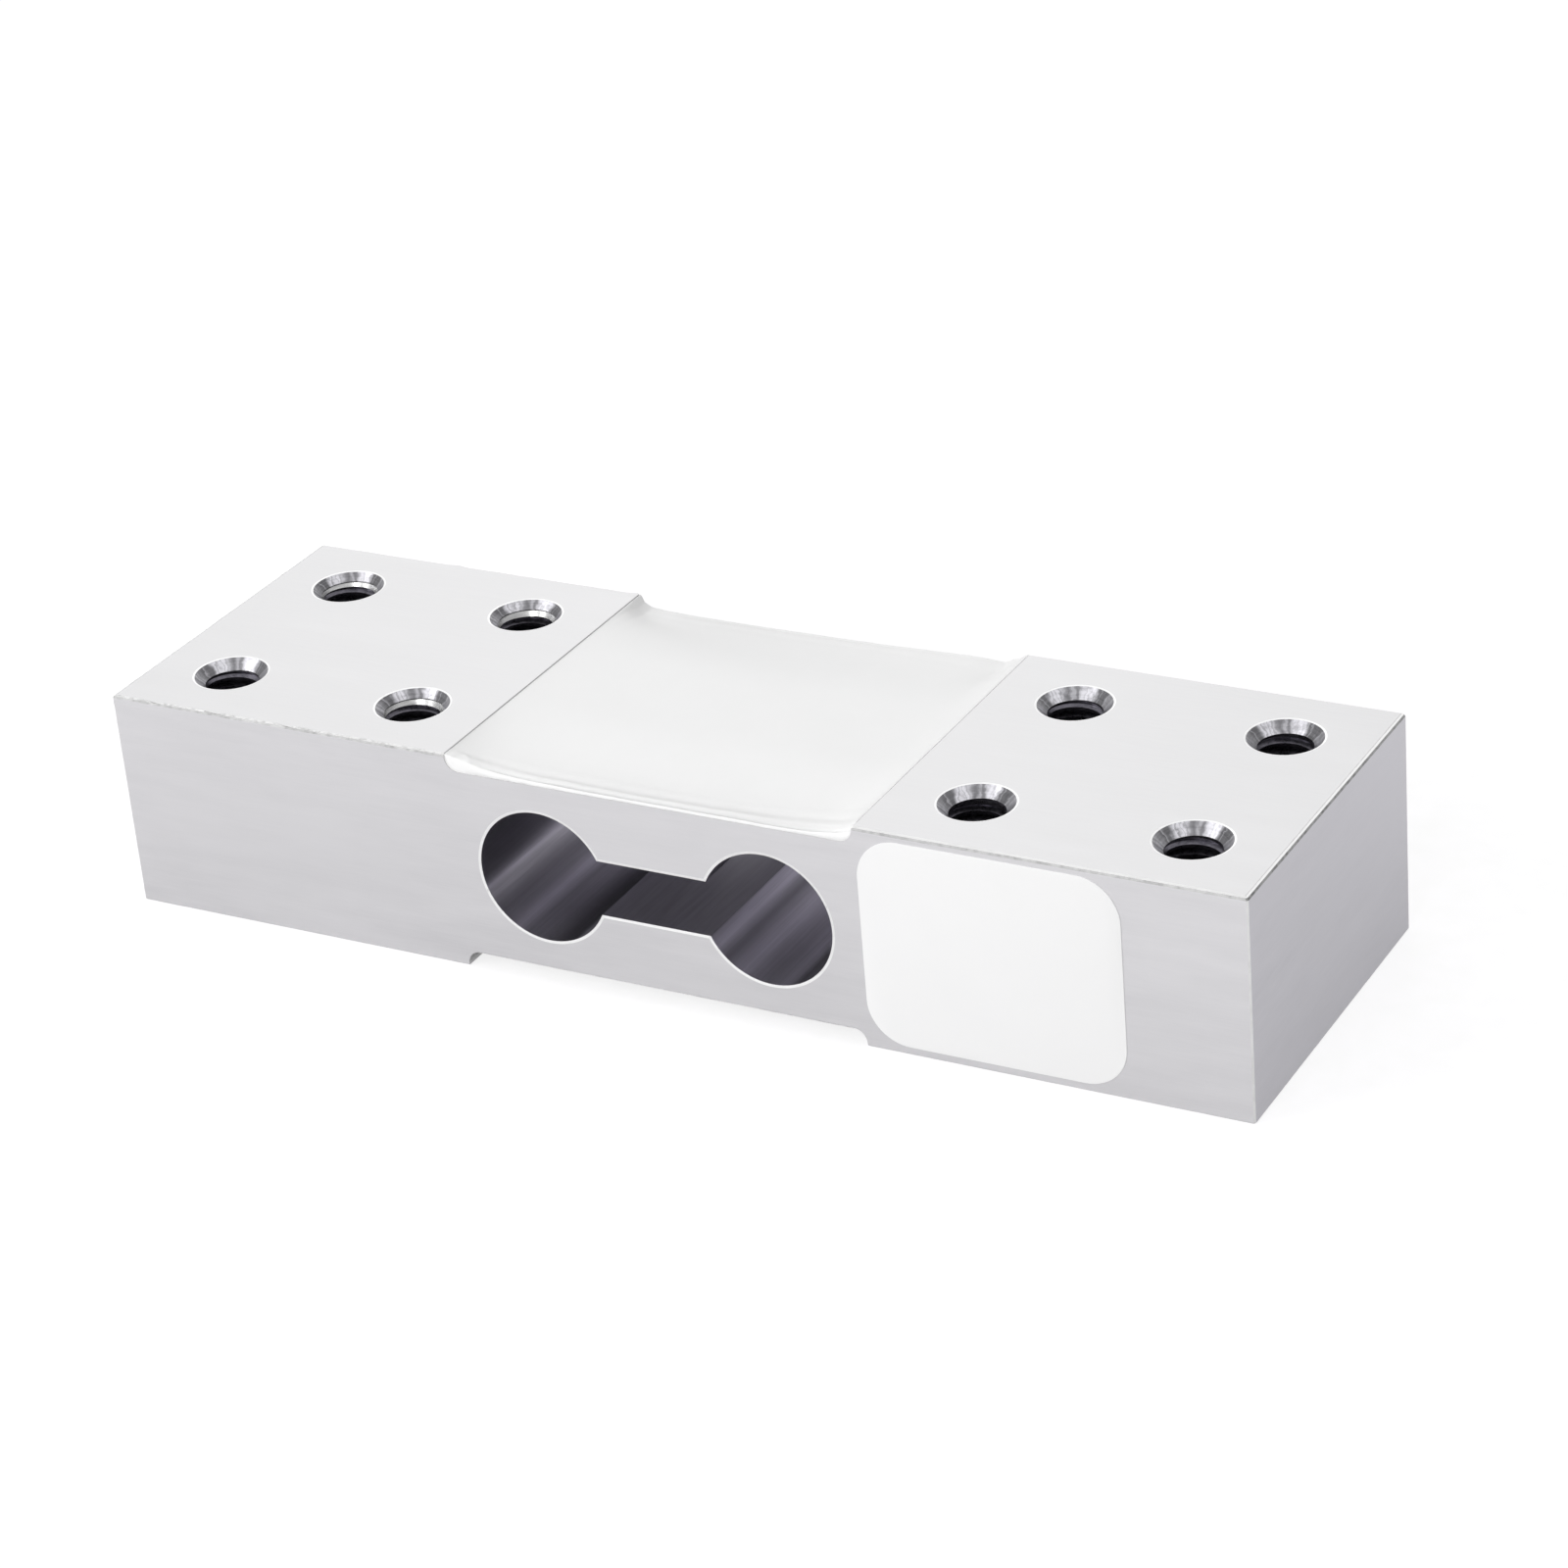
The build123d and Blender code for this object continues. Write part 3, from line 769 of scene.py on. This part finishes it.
def sealantHeight(x, y, upward, seed):
    s = sealant
    front, back = s["halfY"] + y, s["halfY"] - y
    left, right = s["halfX"] + x, s["halfX"] - x
    side = portion(abs(y), s["flatHalf"], s["halfY"] - s["flatHalf"])
    edge = profileAt(s["backEdge"], x) if y > 0 and upward else s["edge"]
    crown = s["crown"] + s["tilt"] * bell(left, 0, s["tiltWide"])
    height = crown + (edge - crown) * eased(side)
    height += sum(tall * wobble(x, y, size, seed + i) for i, (tall, size) in enumerate(s["waves"]))

    begin = portion(x, *s["beadStart"])       # the bead starts beside the blob, ends before the wall
    begin *= 1 - bell(right, 0, s["beadEnd"])
    spread = 1 + s["spread"] * portion(x, *s["spreadFrom"])
    for near, strong in ((front, 1.0 if upward else s["weak"]), (back, s["weak"])):
        swing = s["swing"] * wobble(x, 0, s["swingSize"], seed + 2 + strong)
        grow = strong * (1 + s["grow"] * wobble(x, 0, s["growSize"], seed + 3 + strong))
        height += begin * grow * s["bead"] * bell(near, s["beadAt"] + 0.3 * swing, s["beadWide"])
        height -= begin * grow * s["groove"] * bell(near, s["grooveAt"] + swing, s["grooveWide"])
        height += grow * s["ripple"] * bell(near, s["rippleAt"] * spread + 2 * swing,
                                            s["rippleWide"] * spread)
        height -= strong * s["hollow"] * bell(near, s["hollowAt"] * spread + 2 * swing,
                                              s["hollowWide"])
        height += strong * s["swell"] * bell(near, s["swellAt"] * spread + 3 * swing,
                                             s["swellWide"])

    late = eased(portion(y if upward else abs(y), *s["backFrom"]))
    for near, reach in ((left, s["leftReach"]), (right, s["rightReach"])):      # up the end walls
        reach += (s["backReach"] - reach) * late
        uneven = 1 + s["wallSwing"] * wobble(0, y, s["wallSwingSize"], seed + 5)
        pull = math.exp(-near / (reach * uneven))
        if upward:                            # lower again in the front right corner
            pull *= 1 - s["cornerLow"] * bell(front, 0, 0.7) * bell(right, 0, 3)
        else:
            pull *= 1 - late
        height += max(s["wallTop"] - height, 0) * pull
    if upward:                                # the blob at the front left corner
        (blobX, blobY), (wideX, wideY) = s["blobAt"], s["blobWide"]
        tall = s["blob"] + s["blobUneven"] * wobble(x, y, s["blobSize"], seed + 6)
        height += tall * bell(front, blobY, wideY) * bell(left, blobX, wideX)
    return max(height, s["least"])


def roundOff(near, reach):                    # a quarter circle takes it down at an edge, nearly to 0
    if near >= reach:
        return 1.0
    return math.sqrt(max(1 - (1 - near / reach) ** 2, 0.02 ** 2))


def bedHeight(x):                             # the recess corner that the sealant lies in
    radius = beam["recessCorner"]
    near = beam["recess"] - abs(x)
    if near >= radius:
        return 0.0
    return radius - math.sqrt(radius ** 2 - (radius - near) ** 2)


def layPoint(u, v, top, upward, seed):        # where a point of the divided slab goes
    s = sealant
    crowd = s["crowd"]                        # the lines stand closer near the borders
    x = s["halfX"] * ((1 - crowd) * u + crowd * math.sin(u * math.pi / 2))
    y = s["halfY"] * ((1 - crowd) * v + crowd * math.sin(v * math.pi / 2))
    bed = z = bedHeight(x)
    if top:
        height = max(sealantHeight(x, y, upward, seed), bed + s["thin"])
        frontBack = roundOff(s["halfY"] - abs(y), s["round"])
        walls = 1 - s["wallDrop"] + s["wallDrop"] * roundOff(s["halfX"] - abs(x), s["wallRound"])
        z = bed + (height - bed) * frontBack * walls
        if abs(v) > 0.99:                     # the front and back borders waver
            y *= 1 + s["borderSwing"] * wobble(x, 0, 4, seed + 9)
    z += beam["height"] - beam["recessDepth"]
    return (x * mm, y * mm, (z if upward else beam["height"] - z) * mm)


def makeSealant(name, node, upward, seed):
    useOnly(None)
    bpy.ops.mesh.primitive_grid_add(x_subdivisions=sealant["xLines"],
                                    y_subdivisions=sealant["yLines"], size=2)
    piece = nameNew(name)
    openMesh(piece)
    bpy.ops.mesh.extrude_region_move(TRANSFORM_OT_translate={"value": (0, 0, 1)})
    bpy.ops.object.mode_set(mode="OBJECT")
    for vertex in piece.data.vertices:
        vertex.co = layPoint(vertex.co.x, vertex.co.y, vertex.co.z > 0.5, upward, seed)
    openMesh(piece)
    bpy.ops.mesh.normals_make_consistent(inside=False)
    bpy.ops.mesh.select_mode(type="FACE")
    bpy.ops.mesh.select_all(action="DESELECT")
    shape = bmesh.from_edit_mesh(piece.data)
    floorZ = beam["height"] - beam["recessDepth"]
    bedZ = floorZ if upward else beam["height"] - floorZ
    for face in shape.faces:
        if all(abs(v.co.z / mm - bedZ) < 0.001 for v in face.verts):
            face.select_set(True)
    bmesh.update_edit_mesh(piece.data)
    bpy.ops.mesh.delete(type="FACE")          # the flat part of the underside becomes one face again
    bpy.ops.mesh.select_mode(type="EDGE")
    bpy.ops.mesh.select_non_manifold()
    bpy.ops.mesh.edge_face_add()
    bpy.ops.object.mode_set(mode="OBJECT")
    piece.data.materials.append(sealantFinish)
    bpy.ops.object.shade_smooth_by_angle(angle=math.radians(sealant["smoothBelow"]))
    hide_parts(node)
    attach(piece, "root")
    print(name, "laid:", len(piece.data.polygons), "faces")


sealantFinish = whiteSilicone()
makeSealant("silicone_top", "top_sealant", True, 1)
makeSealant("silicone_bottom", "bottom_sealant", False, 4)


# the blank label on the front face

label = {
    "corner": 5.3, "cornerSteps": 14, "edgeRound": 0.04, "edgeSteps": 3, "smoothBelow": 35,
    "lowTone": 0.915, "highTone": 0.862, "low": 2, "high": 26, "uneven": 0.015,
    "roughness": (0.42, 0.55),
}


def labelFilm():
    finish = Finish("labelFilm", IOR=1.46)
    fibre = finish.grain((1, 1, 1), 3500, 4)
    cloud = finish.grain((1, 1, 1), 90, 2)
    # the film is lighter low down and darker high up: painted light
    height = finish.span(finish.axes()["Z"], 0, 1, label["low"] * mm, label["high"] * mm)
    tone = finish.blendColour(height, grey(label["lowTone"]), grey(label["highTone"]))
    soft = finish.blendColour(finish.span(cloud, 0, 1), grey(1 - label["uneven"]), grey(1.0))
    finish.to("Base Color", finish.blendColour(1.0, tone, soft, "MULTIPLY"))
    finish.to("Roughness", finish.span(fibre, *label["roughness"]))
    finish.bump(fibre, 0.15, 0.00001)
    return finish.material


def makeLabel():
    low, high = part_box("blank_label")
    piece = addBlock("plain_label", [a / mm for a in low], [a / mm for a in high])
    pickEdges(piece, lambda middle, run: abs(run.y) > 0.9)
    bevelPicked(label["corner"], label["cornerSteps"])
    outer = low.y / mm
    pickEdges(piece, lambda middle, run: abs(middle.y - outer) < 0.001)
    bevelPicked(label["edgeRound"], label["edgeSteps"])
    piece.data.materials.append(labelFilm())
    bpy.ops.object.shade_smooth_by_angle(angle=math.radians(label["smoothBelow"]))
    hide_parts("blank_label")
    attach(piece, "root")


makeLabel()
print("label done")


# the wiring under the sealant keeps its solids and gets better finishes

hiddenFinishes = {                            # dark, light, metal, roughness and grain scale
    "gauge_film": ((0.42, 0.19, 0.03, 1), (0.56, 0.28, 0.05, 1), 0.0, (0.25, 0.35), 900),
    "gauge_foil": ((0.50, 0.42, 0.34, 1), (0.66, 0.57, 0.47, 1), 1.0, (0.28, 0.42), 5000),
    "tinned_copper": (grey(0.52), grey(0.72), 1.0, (0.25, 0.40), 3500),
    "circuit_board": ((0.012, 0.11, 0.035, 1), (0.02, 0.17, 0.055, 1), 0.0, (0.30, 0.42), 2200),
    "copper": ((0.70, 0.32, 0.17, 1), (0.86, 0.44, 0.26, 1), 1.0, (0.28, 0.42), 3000),
    "solder": (grey(0.48), grey(0.74), 1.0, (0.20, 0.42), 2600),
    "resistor_ceramic": (grey(0.012), grey(0.030), 0.0, (0.35, 0.55), 3200),
    "red_insulation": ((0.42, 0.015, 0.012, 1), (0.56, 0.03, 0.025, 1), 0.0, (0.35, 0.50), 1500),
    "black_insulation": (grey(0.010), grey(0.022), 0.0, (0.35, 0.50), 1500),
    "green_insulation": ((0.015, 0.19, 0.05, 1), (0.03, 0.27, 0.075, 1), 0.0, (0.35, 0.50), 1500),
    "white_insulation": (grey(0.72), grey(0.82), 0.0, (0.35, 0.50), 1500),
}
slotStarts = {
    "supply_plus": "red_insulation", "supply_minus": "black_insulation",
    "signal_plus": "green_insulation", "signal_minus": "white_insulation",
}
slotEndings = {
    "film": "gauge_film", "foil": "gauge_foil", "leads": "tinned_copper", "board": "circuit_board",
    "pads": "copper", "joints": "solder", "resistor": "resistor_ceramic",
}


def slotOf(node):
    for start, slot in slotStarts.items():
        if node.startswith(start):
            return slot
    for ending, slot in slotEndings.items():
        if node.endswith(ending):
            return slot


madeFinishes = {}
for slot, (dark, light, metal, roughness, scale) in hiddenFinishes.items():
    grain = ((1, 1, 1), scale, 4)
    madeFinishes[slot] = grainyFinish(slot, metal, grain, dark, light, roughness, 0.3)
for name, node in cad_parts.items():
    slot = slotOf(name)
    if slot:
        for place in node.material_slots:
            place.material = madeFinishes[slot]
print("wiring finished")


# stage, light and camera

stage = {
    "floorHalf": 3.0, "floorDrop": 0.00002, "speckScale": 300, "floorGlow": 0.765,
    "floorColours": ((0.340, 0.334, 0.348, 1), (0.30, 0.30, 0.30, 1)),
    "footShade": 0.68, "footReach": 0.050,    # reflections see the floor darker close to the beam
    "worldLight": 0.64,
    "lamps": {                                # place, width, watts
        "behind": ((-0.53, 0.92, 0.68), 0.75, 1.65),
        "frontLow": ((0.0, -1.30, 0.38), 0.60, 7.3),
        "frontLeft": ((-0.9, -0.9, 0.7), 0.70, 6.8),
    },
}
camera = {
    "place": (0.242481, -0.405125, 0.259035),
    "right": (0.87967582, 0.46915257, -0.07788658),
    "up": (-0.15401256, 0.43598092, 0.88667963),
    "lens": 101.504, "sensor": 36.0, "nearest": 0.01,
}


def seenWhite(tree, plain, strength):         # strength for camera, metal and glass, else plain
    path = addNode(tree, "LightPath")
    seen = path.outputs["Is Camera Ray"]
    for ray in ("Is Glossy Ray", "Is Transmission Ray"):        # white where any of them sees it
        larger = addNode(tree, "Math", {0: seen, 1: path.outputs[ray]}, operation="MAXIMUM")
        seen = larger.outputs[0]
    choice = addNode(tree, "MapRange", {"Value": seen, "To Min": plain, "To Max": strength})
    return choice.outputs["Result"]


def paleFloor():
    finish = Finish("paleFloor", Roughness=0.9, Specular_IOR_Level=0.0, Emission_Color=grey(1))
    speck = finish.grain((1, 1, 1), stage["speckScale"], 2)
    finish.to("Base Color", finish.blendColour(finish.span(speck, 0, 1), *stage["floorColours"]))
    axes = finish.axes()
    away = []
    for axis, half in zip(("X", "Y"), beam["half"]):            # distance from the beam's outline
        beyond = finish.math("SUBTRACT", finish.math("ABSOLUTE", axes[axis]), half * mm)
        beyond = finish.math("MAXIMUM", beyond, 0.0)
        away.append(finish.math("MULTIPLY", beyond, beyond))
    distance = finish.math("SQRT", finish.math("ADD", *away))
    foot = finish.span(distance, stage["footShade"], 1.0, 0.0, stage["footReach"])
    foot = finish.math("MAXIMUM", foot, finish.add("LightPath").outputs["Is Camera Ray"])
    glow = finish.math("MULTIPLY", foot, seenWhite(finish.tree, 0.0, stage["floorGlow"]))
    finish.to("Emission Strength", glow)
    return finish.material


def makeStage():
    useOnly(None)
    bpy.ops.mesh.primitive_plane_add(size=2 * stage["floorHalf"], location=(0, 0, 0))
    floor = nameNew("floor")
    floor.location.z = -stage["floorDrop"]
    floor.data.materials.append(paleFloor())

    world = bpy.data.worlds.new("studio")
    bpy.context.scene.world = world
    world.use_nodes = True
    background = world.node_tree.nodes["Background"]
    background.inputs["Color"].default_value = grey(1)
    strength = seenWhite(world.node_tree, stage["worldLight"], 1.0)
    world.node_tree.links.new(strength, background.inputs["Strength"])

    for name, (place, width, watts) in stage["lamps"].items():
        light = bpy.data.lights.new(name, "AREA")
        light.shape = "SQUARE"
        light.size = width
        light.energy = watts
        lamp = linkNew(name, light)
        lamp.location = place
        lamp.rotation_euler = Vector(place).to_track_quat("Z", "Y").to_euler()
        lamp.visible_camera = False


def makeCamera():
    lens = bpy.data.cameras.new("photo")
    lens.lens = camera["lens"]
    lens.sensor_width = camera["sensor"]
    lens.clip_start = camera["nearest"]
    eye = linkNew("photo", lens)
    right, up = Vector(camera["right"]), Vector(camera["up"])
    eye.rotation_euler = Matrix((right, up, right.cross(up))).transposed().to_euler()
    eye.location = camera["place"]
    bpy.context.scene.camera = eye


makeStage()
makeCamera()
bpy.context.scene.view_settings.view_transform = "Standard"
print("stage, light and camera ready")
